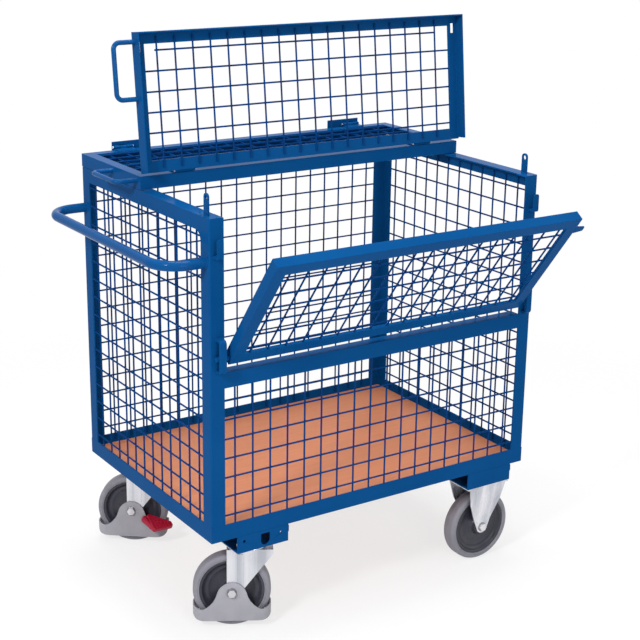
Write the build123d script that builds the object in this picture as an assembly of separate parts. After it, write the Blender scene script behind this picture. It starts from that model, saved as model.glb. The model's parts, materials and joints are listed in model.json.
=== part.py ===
"""Mesh box trolley with a two-part folding lid, a lift-out drop flap and four castors.

Millimetres, +X along the length with the push handle at -X, +Y to the rear, +Z up from the floor.
The parts are drawn about the middle of the box and moved once, on export, to the origin.
"""
import os

from build123d import *

# Box
LENGTH = 990.0
DEPTH = 688.0
BOX_H = 815.0
STEEL = 4.0
RAIL_H = 42.0
RAIL_FOOT = 40.0
POST_FRONT_W = 39.0
POST_SIDE_W = 40.0
TOP_RAIL_H = 37.0
TOP_RAIL_W = 36.0
POST_BEND = 4.0
POST_CAP_BEND = 3.0
GUSSET_R = 22.0
GUSSET_EDGE = 1.0
MID_RAIL_Z = 397.0
MID_RAIL_H = 40.0
MID_RAIL_W = 34.0
BOARD_T = 12.0
BOARD_PLAY = 1.0

# Wire mesh
WIRE_R = 2.0
PITCH = 50.0
FIRST_ROW = 66.0
WIRE_LAP = 18.0
ROW_END_GAP = 0.5
END_SPACE = 30.0

# Lids
LID_RISE = 1.0
LID_FLANGE = 34.0
LID_LEG = 30.0
LID_GAP = 1.5
LID_SIDE_START = 4.0
LID_OPEN = 96.0
LID_FIRST_WIRE = 62.0
LID_FIRST_ROW = 48.0

# Hinges
KNUCKLE_R = 4.5
PIN_R = 2.5
RUN_FIT = 0.05
PIN_RISE = 5.5
LEAF_T = 2.5
LEAF_W = 30.0
LEAF_L = 57.0
KNUCKLE_L = 18.6
KNUCKLE_GAP = 0.4
HINGE_IN = 124.0
REAR_AXIS_OUT = 6.0
PLATE_IN = 94.0
PLATE_SPAN = 106.0
PLATE_OUT = 10.0
PLATE_RISE = 20.0

# Bar handles on the lids
BAR_R = 6.0
BAR_SPAN = 136.0
BAR_REACH = 58.0
BAR_BEND = 16.0
FRONT_BAR_IN = 91.0
FRONT_BAR_DROP = 18.0
REAR_BAR_AT = 84.0
REAR_BAR_DROP = 11.0

# Lock tabs and lid slots
TAB_IN = 15.0
TAB_T = 5.0
TAB_BACK = 27.0
TAB_W = 20.0
TAB_RISE = 52.0
TAB_EYE_R = 6.0
TAB_EYE_DROP = 11.0
SLOT_CLEAR = 3.0

# Drop flap
FLAP_SIDE = 45.0
FLAP_HEAD = 13.0
FLAP_LEG = 33.0
FLAP_FLANGE = 27.0
FLAP_GAP = 3.0
FLAP_LEAN = 37.0
FLAP_LIFT = 22.0
PIVOT_R = 4.0
PIVOT_IN = 11.0
PIVOT_OVER = 5.0
RUNNER_PLAY = 0.3
PIVOT_HEAD_R = 5.7
PIVOT_HEAD_T = 7.0
HOOK_DROP = 32.0
HOOK_W = 23.0
HOOK_TIP = 14.0
HOOK_L = 30.0

# Keepers on the front posts
KEEPER_W = 17.0
KEEPER_FOOT = 7.0
LOW_KEEPER_GAP = 14.0
LOW_KEEPER_T = 9.0
LOW_KEEPER_BEND = 12.0
LOW_KEEPER_IN = 33.0
LOW_KEEPER_RISE = 3.0
LOW_KEEPER_H = 85.0
UP_KEEPER_GAP = 18.5
UP_KEEPER_T = 3.0
UP_KEEPER_BEND = 6.0
UP_KEEPER_IN = 27.0
UP_KEEPER_CORNER = 6.0
UP_KEEPER_DROP = 47.0
UP_KEEPER_H = 48.0

# Push handle
PUSH_R = 12.5
PUSH_DROP = 107.0
PUSH_IN = 18.0
PUSH_REACH = 110.0
PUSH_BEND = 70.0
PUSH_WALL = 2.5
SCREW_HEAD_R = 8.0
SCREW_HEAD_T = 4.0

# Castors and their carriers
WHEEL_R = 100.0
TYRE_W = 42.0
TYRE_T = 17.0
CORE_W = 36.0
HUB_R = 22.0
HUB_W = 50.0
CARRIER_MORE_L = 8.0
CARRIER_MORE_W = 20.0
CARRIER_H = 46.0
WEB_SLOT_X = 7.0
WEB_SLOT_W = 26.0
WEB_SLOT_H = 32.0
WEB_HOLES = ((-54.0, 4.0), (52.0, 2.5))
WEB_DROP = 8.0
LEFT_IN = 147.0
RIGHT_IN = 114.0
SWIVEL_BACK = 12.0
WHEEL_TOP_GAP = 13.0
PLATE_L = 140.0
PLATE_W = 100.0
PLATE_T = 5.0
BOLT_IN_X = 17.5
BOLT_IN_Y = 17.0
BOLT_R = 5.0
BOLT_FIT = 0.5
HEX_R = 8.5
HEX_T = 6.5
NUT_T = 8.0
SWIVEL_TURN = {-1: -30.0, 1: -38.0}
FIXED_FORK_IN = 7.0
TRAIL = 48.0
RACE_R = 38.0
RACE_H = 13.0
CROWN_T = 5.0
KING_R = 10.0
KING_NUT_R = 16.0
KING_NUT_T = 9.0
HUB_PLAY = 1.0
FORK_T = 4.0
LEG_BEND = 24.0
RIB_W = 28.0
RIB_T = 1.5
RIB_END = 12.0
AXLE_R = 6.0
TUBE_R = 9.0
AXLE_FIT = 0.05
AXLE_HEX_R = 11.0
AXLE_HEX_T = 8.0
SIDE_PLAY = 0.5

# Foot guards and brake pedal
GUARD_T = 4.0
GUARD_Z0 = 20.0
GUARD_END_H = 39.0
GUARD_DIP_H = 32.0
GUARD_HUMP = 28.0
GUARD_CORNER = 24.0
PEDAL_AT = (40.0, -22.0)
PEDAL_PIN_R = 5.0
PEDAL_ARM_T = 6.0
PEDAL_ARM_R = 9.0
PEDAL_HEAD_FIT = 3.0
PEDAL_PAD_L = 62.0
PEDAL_PAD_W = 60.0
PEDAL_PAD_T = 11.0
PEDAL_PAD_AT = 82.0
PEDAL_PAD_OUT = 5.0
PEDAL_PAD_Z = -25.0
PEDAL_TURN = 35.0
PEDAL_TILT = 27.0

# Values that follow from the ones above
XO = LENGTH / 2
YO = DEPTH / 2
CROWN_Z = 2 * WHEEL_R + WHEEL_TOP_GAP + CROWN_T
CARRIER_Z = CROWN_Z + RACE_H + PLATE_T
BASE_Z = CARRIER_Z + CARRIER_H
TOP_Z = BASE_Z + BOX_H
LID_Z = TOP_Z + LID_RISE + LID_FLANGE
MID_TOP = BASE_Z + MID_RAIL_Z + MID_RAIL_H
BOARD_Z = BASE_Z + STEEL
LEFT_X = LEFT_IN - XO
RIGHT_X = XO - RIGHT_IN
FIXED_Y = YO - PLATE_W / 2
SWIVEL_Y = FIXED_Y - SWIVEL_BACK
CARRIER_L = PLATE_L + CARRIER_MORE_L
CARRIER_W = PLATE_W + CARRIER_MORE_W
BOLT_X = PLATE_L / 2 - BOLT_IN_X
BOLT_Y = PLATE_W / 2 - BOLT_IN_Y
FORK_IN = HUB_W / 2 + HUB_PLAY
GUARD_L = 2 * WHEEL_R
HINGE_X = XO - HINGE_IN
PLATE_X1 = XO - PLATE_IN
PLATE_X0 = PLATE_X1 - PLATE_SPAN
FRONT_BAR_AT = YO - FRONT_BAR_IN
TAB_X = XO - TAB_IN
TAB_Y1 = YO - TAB_BACK
TAB_Y0 = TAB_Y1 - TAB_W
PUSH_Z = BOX_H - PUSH_DROP
PUSH_Y = YO - PUSH_IN
LOW_KEEPER_X0 = XO - LOW_KEEPER_IN
LOW_KEEPER_Z0 = MID_TOP - BASE_Z + LOW_KEEPER_RISE
LOW_KEEPER_Z1 = LOW_KEEPER_Z0 + LOW_KEEPER_H
UP_KEEPER_X0 = XO - UP_KEEPER_IN
UP_KEEPER_Z1 = BOX_H - UP_KEEPER_DROP
UP_KEEPER_Z0 = UP_KEEPER_Z1 - UP_KEEPER_H
PIVOT_END = LOW_KEEPER_X0 + KEEPER_W + PIVOT_OVER
FLAP_L = LENGTH - 2 * FLAP_SIDE
FLAP_H = TOP_Z - MID_TOP - FLAP_GAP - FLAP_HEAD
HOOK_S1 = FLAP_H - HOOK_DROP
HOOK_S0 = HOOK_S1 - HOOK_W
MID_AXIS_Z = LID_Z + PIN_RISE
REAR_AXIS_Y = YO + REAR_AXIS_OUT
RUNNER_R = LOW_KEEPER_GAP / 2 - RUNNER_PLAY
PIVOT_Y = -YO - LOW_KEEPER_GAP / 2
PIVOT_Z = BASE_Z + LOW_KEEPER_Z0 + KEEPER_FOOT + RUNNER_R + RUNNER_PLAY
FLAP_FACE = PIVOT_Y - PIVOT_IN
FLAP_Z = MID_TOP + FLAP_GAP

nodes = {}


def block(x0, x1, y0, y1, z0, z1):
    """Box between two corners."""
    middle = Pos((x0 + x1) / 2, (y0 + y1) / 2, (z0 + z1) / 2)
    return middle * Box(abs(x1 - x0), abs(y1 - y0), abs(z1 - z0))


def rod_x(x0, x1, y, z, r):
    """Round bar along X."""
    return Pos((x0 + x1) / 2, y, z) * Rot(0, 90, 0) * Cylinder(r, abs(x1 - x0))


def rod_y(x, y0, y1, z, r):
    """Round bar along Y."""
    return Pos(x, (y0 + y1) / 2, z) * Rot(90, 0, 0) * Cylinder(r, abs(y1 - y0))


def rod_z(x, y, z0, z1, r):
    """Round bar along Z."""
    return Pos(x, y, (z0 + z1) / 2) * Cylinder(r, abs(z1 - z0))


def hex_z(x, y, z0, z1, r):
    """Hexagonal bar along Z."""
    return Pos(x, y, z0) * extrude(RegularPolygon(r, 6), z1 - z0)


def prism_x(x0, x1, points):
    """Outline in the YZ plane pulled along X."""
    return Pos(x0, 0, 0) * extrude(Plane.YZ * Polygon(*points, align=None), x1 - x0, dir=(1, 0, 0))


def prism_y(y0, y1, points):
    """Outline in the XZ plane pulled along Y."""
    return Pos(0, y0, 0) * extrude(Plane.XZ * Polygon(*points, align=None), y1 - y0, dir=(0, 1, 0))


def mirrored(make):
    """The piece at +X and at -X."""
    piece = make()
    return [piece, mirror(piece, Plane.YZ)]


def angle_ring(u, v, leg, flange, v_start=0.0, open_side=False):
    """Four mitred angle bars round a u by v rectangle, legs on top, flanges down from z = 0.

    The rectangle starts at y = 0 and runs to y = -v. With open_side the bar at y = 0 has no flange,
    and the side flanges start at v_start.
    """
    mid = Pos(0, -v / 2, 0)
    legs = mid * (Box(u, v, STEEL) - Box(u - 2 * leg, v - 2 * leg, STEEL))
    walls = mid * (Box(u, v, flange) - Box(u - 2 * STEEL, v - 2 * STEEL, flange))
    if open_side:
        walls -= Pos(0, -v_start / 2, 0) * Box(u, v_start, flange)
    ring = Pos(0, 0, -STEEL / 2) * legs + Pos(0, 0, -flange / 2) * walls
    out = [(-u / 2, 0), (u / 2, 0), (u / 2, -v), (-u / 2, -v)]
    cut = [(-u / 2 + leg, -leg), (u / 2 - leg, -leg), (u / 2 - leg, leg - v), (leg - u / 2, leg - v)]
    bars = []
    for i in range(4):
        j = (i + 1) % 4
        wedge = extrude(Polygon(out[i], out[j], cut[j], cut[i], align=None), flange, dir=(0, 0, -1))
        bars.append(ring & wedge)
    return bars


def bar_handle(y, drop):
    """Bent round bar standing out to -X from a lid's side flange, with its middle at y."""
    half = BAR_SPAN / 2
    corners = [(0, -half), (-BAR_REACH, -half), (-BAR_REACH, half), (0, half)]
    line = FilletPolyline(*corners, radius=BAR_BEND)
    bar = sweep(Plane(line @ 0, z_dir=line % 0) * Circle(BAR_R), path=line)
    return Pos(-XO, y, LID_Z - drop) * bar


def wires(values, make):
    """One round bar for each value."""
    return [make(value) for value in values]


def steps(first, last):
    """Positions at the mesh pitch from the first up to the last at most."""
    return [first + PITCH * i for i in range(int((last - first) / PITCH) + 1)]


def centred(span):
    """Positions at the mesh pitch about zero, as many as leave END_SPACE free in the span."""
    half = int((span - END_SPACE) / PITCH) * PITCH / 2
    return steps(-half, half)


# Base frame, board and posts
base = angle_ring(LENGTH, DEPTH, RAIL_FOOT, RAIL_H)
nodes["base_rails"] = [Pos(0, YO, BASE_Z) * mirror(bar, Plane.XY) for bar in base]
board = Box(LENGTH - 2 * STEEL - 2 * BOARD_PLAY, DEPTH - 2 * STEEL - 2 * BOARD_PLAY, BOARD_T)
nodes["floor_board"] = [Pos(0, 0, BOARD_Z + BOARD_T / 2) * board]


def post(sign):
    """Corner post at +X; sign is -1 at the front and 1 at the rear."""
    inner = XO - POST_FRONT_W
    angle = block(inner, XO, sign * YO, sign * (YO - STEEL), BASE_Z + RAIL_H, TOP_Z)
    angle += block(XO - STEEL, XO, sign * YO, sign * (YO - POST_SIDE_W), BASE_Z + RAIL_H, TOP_Z)
    if sign < 0:
        angle += block(inner, XO, -YO, POST_SIDE_W - YO, TOP_Z - STEEL, TOP_Z)
        angle = fillet(angle.edges().filter_by(Axis.Y).group_by(Axis.Z)[-1].sort_by(Axis.X)[0], POST_CAP_BEND)
    upright = angle.edges().filter_by(Axis.Z)
    corner = upright.sort_by(lambda edge: edge.center().X + sign * edge.center().Y)[-1]
    return fillet(corner, POST_BEND)


nodes["posts_front"] = mirrored(lambda: post(-1))
nodes["posts_rear"] = mirrored(lambda: post(1))


def end_rail():
    """Top rail between the posts at +X."""
    y = YO - POST_SIDE_W
    wall = block(XO - STEEL, XO, -y, y, TOP_Z - TOP_RAIL_H, TOP_Z)
    return wall + block(XO - TOP_RAIL_W, XO, -y, y, TOP_Z - STEEL, TOP_Z)


def gusset():
    """Hollow-edged corner plate under the left top rail at the front post."""
    y = POST_SIDE_W - YO
    z = TOP_Z - TOP_RAIL_H
    plate = block(-XO, STEEL - XO, y, y + GUSSET_R, z - GUSSET_R, z)
    return plate - rod_x(-XO - 1, STEEL - XO + 1, y + GUSSET_R, z - GUSSET_R, GUSSET_R - GUSSET_EDGE)


right_rail, left_rail = mirrored(end_rail)
nodes["top_rail_right"] = [right_rail]
nodes["top_rail_left"] = [left_rail + gusset()]
FRONT_X = XO - POST_FRONT_W
rear_wall = block(-FRONT_X, FRONT_X, YO - STEEL, YO, TOP_Z - TOP_RAIL_H, TOP_Z)
rear_leg = block(-FRONT_X, FRONT_X, YO - TOP_RAIL_W, YO, TOP_Z - STEEL, TOP_Z)
nodes["top_rail_rear"] = [rear_wall + rear_leg]
mid_wall = block(-FRONT_X, FRONT_X, -YO, STEEL - YO, MID_TOP - MID_RAIL_H, MID_TOP)
mid_leg = block(-FRONT_X, FRONT_X, -YO, MID_RAIL_W - YO, MID_TOP - STEEL, MID_TOP)
nodes["mid_rail_front"] = [mid_wall + mid_leg]

# Mesh walls: upright wires behind the frame's legs, level wires between the posts
LOW = BASE_Z + RAIL_H - WIRE_LAP
HIGH = TOP_Z - TOP_RAIL_H + WIRE_LAP
IN_LEG = STEEL - WIRE_R
BEHIND = STEEL + WIRE_R
SIDE_Y = YO - POST_SIDE_W - ROW_END_GAP
LONG_X = FRONT_X - ROW_END_GAP
wall_rows = steps(BASE_Z + FIRST_ROW, TOP_Z - TOP_RAIL_H - 2 * WIRE_R)
front_rows = steps(BASE_Z + FIRST_ROW, MID_TOP - MID_RAIL_H - 2 * WIRE_R)


def end_mesh(beside_gusset):
    """Wire panel at +X; the rows at the height of a gusset stop short of it by beside_gusset."""
    wall = wires(centred(2 * SIDE_Y), lambda y: rod_z(XO - BEHIND, y, LOW, HIGH, WIRE_R))
    for z in wall_rows:
        start = -SIDE_Y + (beside_gusset if z > TOP_Z - TOP_RAIL_H - GUSSET_R else 0)
        wall.append(rod_y(XO - IN_LEG, start, SIDE_Y, z, WIRE_R))
    return wall


nodes["mesh_right"] = end_mesh(0)
nodes["mesh_left"] = [mirror(wire, Plane.YZ) for wire in end_mesh(GUSSET_R / 3)]
rear_up = wires(centred(2 * LONG_X), lambda x: rod_z(x, YO - BEHIND, LOW, HIGH, WIRE_R))
rear_level = wires(wall_rows, lambda z: rod_x(-LONG_X, LONG_X, YO - IN_LEG, z, WIRE_R))
nodes["mesh_rear"] = rear_up + rear_level
FRONT_HIGH = MID_TOP - MID_RAIL_H + WIRE_LAP
front_up = wires(centred(2 * LONG_X), lambda x: rod_z(x, BEHIND - YO, LOW, FRONT_HIGH, WIRE_R))
front_level = wires(front_rows, lambda z: rod_x(-LONG_X, LONG_X, IN_LEG - YO, z, WIRE_R))
nodes["mesh_front"] = front_up + front_level

# Lock tabs on the front posts
def lock_tab():
    """Eyed plate standing on the post at +X."""
    x0 = TAB_X - TAB_T / 2
    x1 = TAB_X + TAB_T / 2
    y0 = -TAB_Y1
    y1 = -TAB_Y0
    top = TOP_Z + TAB_RISE
    eye = rod_x(x0 - 1, x1 + 1, (y0 + y1) / 2, top - TAB_EYE_DROP, TAB_EYE_R)
    plate = block(x0, x1, y0, y1, TOP_Z, top)
    plate = fillet(plate.edges().filter_by(Axis.X).group_by(Axis.Z)[-1], TAB_W / 2 - 1)
    return plate - eye


nodes["lock_tabs"] = mirrored(lock_tab)

# Keepers on the front posts
def keeper(x0, z0, z1, gap, thick, bend, closed):
    """Strap standing off the post face at +X, open at the top unless closed."""
    x1 = x0 + KEEPER_W
    front = -YO - gap - thick
    strap = block(x0, x1, front, -YO - gap, BASE_Z + z0, BASE_Z + z1)
    strap += block(x0, x1, front, -YO, BASE_Z + z0, BASE_Z + z0 + KEEPER_FOOT)
    if closed:
        strap += block(x0, x1, front, -YO, BASE_Z + z1 - KEEPER_FOOT, BASE_Z + z1)
    bends = strap.edges().filter_by(Axis.X).group_by(Axis.Y)[0].sort_by(Axis.Z)
    strap = fillet(bends if closed else bends[:1], bend)
    if closed:
        return strap
    return fillet(strap.edges().filter_by(Axis.Y).group_by(Axis.Z)[-1], UP_KEEPER_CORNER)


def lower_keeper():
    """Closed loop for the flap's pivot pin."""
    return keeper(LOW_KEEPER_X0, LOW_KEEPER_Z0, LOW_KEEPER_Z1, LOW_KEEPER_GAP, LOW_KEEPER_T,
                  LOW_KEEPER_BEND, True)


def upper_keeper():
    """Open hook for the flap's side tab."""
    return keeper(UP_KEEPER_X0, UP_KEEPER_Z0, UP_KEEPER_Z1, UP_KEEPER_GAP, UP_KEEPER_T, UP_KEEPER_BEND, False)


nodes["flap_keepers_lower"] = mirrored(lower_keeper)
nodes["flap_keepers_upper"] = mirrored(upper_keeper)

# Push handle: bent tube screwed to the left posts
push_line = FilletPolyline((0, -PUSH_Y), (-PUSH_REACH, -PUSH_Y), (-PUSH_REACH, PUSH_Y), (0, PUSH_Y),
                           radius=PUSH_BEND)
push_end = Plane(push_line @ 0, z_dir=push_line % 0)
tube = sweep(push_end * (Circle(PUSH_R) - Circle(PUSH_R - PUSH_WALL)), path=push_line)
nodes["push_handle"] = [Pos(-XO, 0, BASE_Z + PUSH_Z) * tube]


def handle_screw(y):
    """Screw head inside the post that holds one end of the push handle."""
    x = STEEL - XO
    return rod_x(x, x + SCREW_HEAD_T, y, BASE_Z + PUSH_Z, SCREW_HEAD_R)


nodes["handle_screws"] = [handle_screw(-PUSH_Y), handle_screw(PUSH_Y)]

# Hinges: a fixed half and a moving half that share one pin line along X at y = 0, z = PIN_RISE
def knuckle(x0, x1, side):
    """Bored knuckle with the web that joins it to its leaf; side is the sign of y of the leaf."""
    body = rod_x(x0, x1, 0, PIN_RISE, KNUCKLE_R)
    body += block(x0, x1, side * 1.0, side * (KNUCKLE_R + 3), 0, PIN_RISE)
    return body - rod_x(x0 - 1, x1 + 1, 0, PIN_RISE, PIN_R + RUN_FIT)


def leaf_half(side, outer):
    """Leaf on the side of y = side, with the two outer knuckles or the middle one."""
    half = LEAF_L / 2
    clear = KNUCKLE_R + 0.7
    leaf = block(-half, half, side * clear, side * LEAF_W, 0, LEAF_T)
    if outer:
        inner = KNUCKLE_L / 2 + KNUCKLE_GAP
        return leaf + knuckle(inner, half, side) + knuckle(-half, -inner, side)
    return leaf + knuckle(-KNUCKLE_L / 2, KNUCKLE_L / 2, side)


def hinge_pin():
    """Hinge pin with a head at each end."""
    end = LEAF_L / 2 + 0.3
    pin = rod_x(-end, end, 0, PIN_RISE, PIN_R)
    heads = [rod_x(sign * end, sign * (end + 1.5), 0, PIN_RISE, PIN_R + 1) for sign in (-1, 1)]
    return pin + heads[0] + heads[1]


def at_hinges(piece, y):
    """The piece at both hinge stations."""
    return [Pos(x, y, LID_Z) * piece for x in (-HINGE_X, HINGE_X)]


def hinge_plate():
    """Upright rear plate with the fixed outer knuckles, in the hinge's own frame."""
    x0 = PLATE_X0 - HINGE_X
    x1 = PLATE_X1 - HINGE_X
    y = YO - REAR_AXIS_Y
    low = TOP_Z - TOP_RAIL_H - LID_Z
    knee = TOP_Z - STEEL - LID_Z
    out = PLATE_OUT - REAR_AXIS_OUT
    outline = [(y, low), (y + STEEL, low), (y + STEEL, knee - PLATE_OUT), (out + STEEL, knee),
               (out + STEEL, PLATE_RISE), (out, PLATE_RISE), (out, knee + 1), (y, knee + 1 - PLATE_OUT)]
    plate = prism_x(x0, x1, outline)
    inner = KNUCKLE_L / 2 + KNUCKLE_GAP
    for a, b in ((inner, LEAF_L / 2), (-LEAF_L / 2, -inner)):
        plate += rod_x(a, b, 0, PIN_RISE, KNUCKLE_R)
        plate += block(a, b, 0, out + 1, PIN_RISE - 3, PIN_RISE + 3)
        plate -= rod_x(a - 0.2, b + 0.2, 0, PIN_RISE, PIN_R + RUN_FIT)
    return plate - block(-inner, inner, -KNUCKLE_R, KNUCKLE_R + 0.5, 0, PIN_RISE + KNUCKLE_R + 1)


plate_right = Pos(HINGE_X, REAR_AXIS_Y, LID_Z) * hinge_plate()
nodes["rear_hinge_plates"] = [plate_right, mirror(plate_right, Plane.YZ)]
nodes["rear_hinge_pins"] = at_hinges(hinge_pin(), REAR_AXIS_Y)
nodes["rear_lid_leaves"] = at_hinges(leaf_half(-1, False), REAR_AXIS_Y)
nodes["mid_hinge_leaves"] = at_hinges(leaf_half(1, True), 0)
nodes["mid_hinge_pins"] = at_hinges(hinge_pin(), 0)

# Rear lid
rear_bars = angle_ring(LENGTH, YO, LID_LEG, LID_FLANGE)
nodes["rear_lid_frame"] = [Pos(0, YO, LID_Z) * bar for bar in rear_bars]


def lid_mesh(v0, v1, rows, short_row):
    """Wires of a lid between y = v0 and v1; short wires lie under the legs, long ones between them.

    With short_row the last of the long wires stops just past the first and last short wires.
    """
    x = XO - LID_LEG - ROW_END_GAP
    under = LID_Z - STEEL - WIRE_R
    across = steps(LID_FIRST_WIRE - XO, XO - LID_LEG - 2 * WIRE_R)
    ends = [(-x, x)] * len(rows)
    if short_row:
        ends[-1] = (across[0] - 2 * WIRE_R, across[-1] + 2 * WIRE_R)
    short = wires(across, lambda x: rod_y(x, v0, v1, under, WIRE_R))
    return short + [rod_x(a, b, y, under + 2 * WIRE_R, WIRE_R) for (a, b), y in zip(ends, rows)]


lid_rows = steps(LID_FIRST_ROW, YO - LID_LEG - 2 * WIRE_R)
nodes["rear_lid_mesh"] = lid_mesh(LID_LEG - WIRE_LAP, YO - LID_LEG + WIRE_LAP, lid_rows, False)
nodes["rear_lid_handle"] = [bar_handle(REAR_BAR_AT, REAR_BAR_DROP)]

# Front lid, drawn shut and then opened about the middle hinge
SHUT_V = YO - LID_GAP


def open_lid(piece):
    """Turns a piece of the front lid from shut to open."""
    axis = Pos(0, 0, MID_AXIS_Z)
    return axis * Rot(-LID_OPEN, 0, 0) * axis.inverse() * piece


front_bars = angle_ring(LENGTH, SHUT_V, LID_LEG, LID_FLANGE, LID_SIDE_START, True)
slots = Compound([Pos(sign * TAB_X, -(TAB_Y0 + TAB_Y1) / 2, LID_Z) * Box(
    TAB_T + 2 * SLOT_CLEAR, TAB_Y1 - TAB_Y0 + 2 * SLOT_CLEAR, 3 * STEEL) for sign in (-1, 1)])
front_shut = [Pos(0, -LID_GAP, LID_Z) * bar - slots for bar in front_bars]
nodes["front_lid_frame"] = [open_lid(bar) for bar in front_shut[::2]]
nodes["front_lid_sides"] = [open_lid(bar) for bar in front_shut[1::2]]
front_wires = lid_mesh(LID_LEG - WIRE_LAP - YO, WIRE_LAP - LID_LEG, [-row for row in lid_rows], True)
nodes["front_lid_mesh"] = [open_lid(wire) for wire in front_wires]
nodes["front_lid_handle"] = [open_lid(bar_handle(-FRONT_BAR_AT, FRONT_BAR_DROP))]
nodes["front_lid_leaves"] = [open_lid(leaf) for leaf in at_hinges(leaf_half(-1, False), 0)]

# Drop flap, drawn shut and seated, then lifted and leant out about its pivot pins
def lean_flap(piece):
    """Lifts a piece of the flap and leans it outwards."""
    axis = Pos(0, PIVOT_Y, PIVOT_Z)
    return Pos(0, 0, FLAP_LIFT) * axis * Rot(FLAP_LEAN, 0, 0) * axis.inverse() * piece


def stand_up(piece):
    """Stands a ring drawn flat up against the front face, its legs outside and its flanges inwards."""
    return Pos(0, FLAP_FACE, FLAP_Z) * Rot(-90, 0, 0) * mirror(piece, Plane.XY)


flap_bars = [stand_up(bar) for bar in angle_ring(FLAP_L, FLAP_H, FLAP_LEG, FLAP_FLANGE)]
pivot_holes = rod_x(-XO, XO, PIVOT_Y, PIVOT_Z, PIVOT_R + RUN_FIT)
nodes["flap_frame"] = [lean_flap(bar - pivot_holes) for bar in flap_bars]
FLAP_IN_LEG = FLAP_FACE + IN_LEG
flap_x = FLAP_L / 2 - FLAP_LEG - ROW_END_GAP
flap_low = FLAP_Z + FLAP_LEG - WIRE_LAP
flap_high = FLAP_Z + FLAP_H - FLAP_LEG + WIRE_LAP
flap_up = wires(centred(2 * flap_x), lambda x: rod_z(x, FLAP_FACE + BEHIND, flap_low, flap_high, WIRE_R))
flap_rows = [FLAP_Z + FLAP_H / 2 + offset for offset in centred(FLAP_H - 2 * FLAP_LEG)]
flap_level = wires(flap_rows, lambda z: rod_x(-flap_x, flap_x, FLAP_IN_LEG, z, WIRE_R))
nodes["flap_mesh"] = [lean_flap(wire) for wire in flap_up + flap_level]


def flap_hook():
    """Tapered tab on the flap's side at +X."""
    x0 = FLAP_L / 2
    x1 = x0 + HOOK_L
    spare = (HOOK_S1 - HOOK_S0 - HOOK_TIP) / 2
    outline = [(x0, FLAP_Z + HOOK_S0), (x1, FLAP_Z + HOOK_S0 + spare),
               (x1, FLAP_Z + HOOK_S1 - spare), (x0, FLAP_Z + HOOK_S1)]
    return prism_y(FLAP_FACE, FLAP_FACE + STEEL, outline)


nodes["flap_tab"] = [lean_flap(flap_hook())]


def pivot_pin():
    """Headed pin through the flap's side flange at +X, its thick end running in the lower keeper."""
    z = PIVOT_Z + FLAP_LIFT
    inner = FLAP_L / 2 - STEEL - SIDE_PLAY
    outer = FLAP_L / 2 + SIDE_PLAY
    pin = rod_x(inner - PIVOT_HEAD_T, inner, PIVOT_Y, z, PIVOT_HEAD_R)
    pin += rod_x(inner, outer, PIVOT_Y, z, PIVOT_R)
    return pin + rod_x(outer, PIVOT_END, PIVOT_Y, z, RUNNER_R)


nodes["flap_pins"] = mirrored(pivot_pin)

# Castor carriers and fasteners
castors = [(LEFT_X, -SWIVEL_Y), (LEFT_X, SWIVEL_Y), (RIGHT_X, -FIXED_Y), (RIGHT_X, FIXED_Y)]
HOLES = [(sx * BOLT_X, sy * BOLT_Y) for sx in (-1, 1) for sy in (-1, 1)]


def bolt_holes(x, y, z0, z1):
    """Clearance holes of one castor plate."""
    return Compound([rod_z(x + hx, y + hy, z0, z1, BOLT_R + BOLT_FIT) for hx, hy in HOLES])


def web_cuts(x, y):
    """Slot with a round lower end and two round holes through an outer web at y."""
    top = BASE_Z - WEB_DROP
    r = WEB_SLOT_W / 2
    z = top - WEB_SLOT_H + r
    mid = x + WEB_SLOT_X
    cuts = [block(mid - r, mid + r, y - STEEL - 1, y + STEEL + 1, z, top)]
    cuts.append(rod_y(mid, y - STEEL - 1, y + STEEL + 1, z, r))
    for dx, hole_r in WEB_HOLES:
        cuts.append(rod_y(x + dx, y - STEEL - 1, y + STEEL + 1, top - WEB_DROP, hole_r))
    return cuts


def carrier(x, y, pierced):
    """Channel open at both ends, its outer web flush with the base rail."""
    side = 1 if y > 0 else -1
    x0 = x - CARRIER_L / 2
    x1 = x + CARRIER_L / 2
    outer = side * YO
    inner = side * (YO - CARRIER_W)
    body = block(x0, x1, outer, outer - side * STEEL, CARRIER_Z, BASE_Z)
    body += block(x0, x1, inner + side * STEEL, inner, CARRIER_Z, BOARD_Z)
    body += block(x0, x1, outer, inner, CARRIER_Z, CARRIER_Z + STEEL)
    body -= bolt_holes(x, y, CARRIER_Z - 1, CARRIER_Z + STEEL + 1)
    return body - web_cuts(x, outer) if pierced else body


nodes["castor_carriers_left"] = [carrier(x, y, True) for x, y in castors[:2]]
nodes["castor_carriers_right"] = [carrier(x, y, False) for x, y in castors[2:]]


def castor_bolt(x, y):
    """Hexagon bolt from below through castor plate and carrier."""
    low = CARRIER_Z - PLATE_T
    shank = rod_z(x, y, low, CARRIER_Z + STEEL + NUT_T + 2, BOLT_R)
    return hex_z(x, y, low - HEX_T, low, HEX_R) + shank


def castor_nut(x, y):
    """Nut on top of the carrier's floor."""
    z = CARRIER_Z + STEEL
    return hex_z(x, y, z, z + NUT_T, HEX_R) - rod_z(x, y, z - 1, z + NUT_T + 1, BOLT_R + RUN_FIT)


spots = [(x + hx, y + hy) for x, y in castors for hx, hy in HOLES]
nodes["castor_bolts"] = [castor_bolt(x, y) for x, y in spots]
nodes["castor_nuts"] = [castor_nut(x, y) for x, y in spots]

# Castor pieces in a frame of their own: x along the wheel, z = 0 at the axle
AXLE_Z = WHEEL_R
CROWN_UP = CROWN_Z - AXLE_Z
FORK_OUT = FORK_IN + FORK_T


def tyre():
    """Grey tyre with rounded shoulders."""
    band = Rot(90, 0, 0) * Cylinder(WHEEL_R, TYRE_W)
    band = fillet(band.edges().filter_by(GeomType.CIRCLE), 10)
    return band - Rot(90, 0, 0) * Cylinder(WHEEL_R - TYRE_T, TYRE_W + 2)


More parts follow.
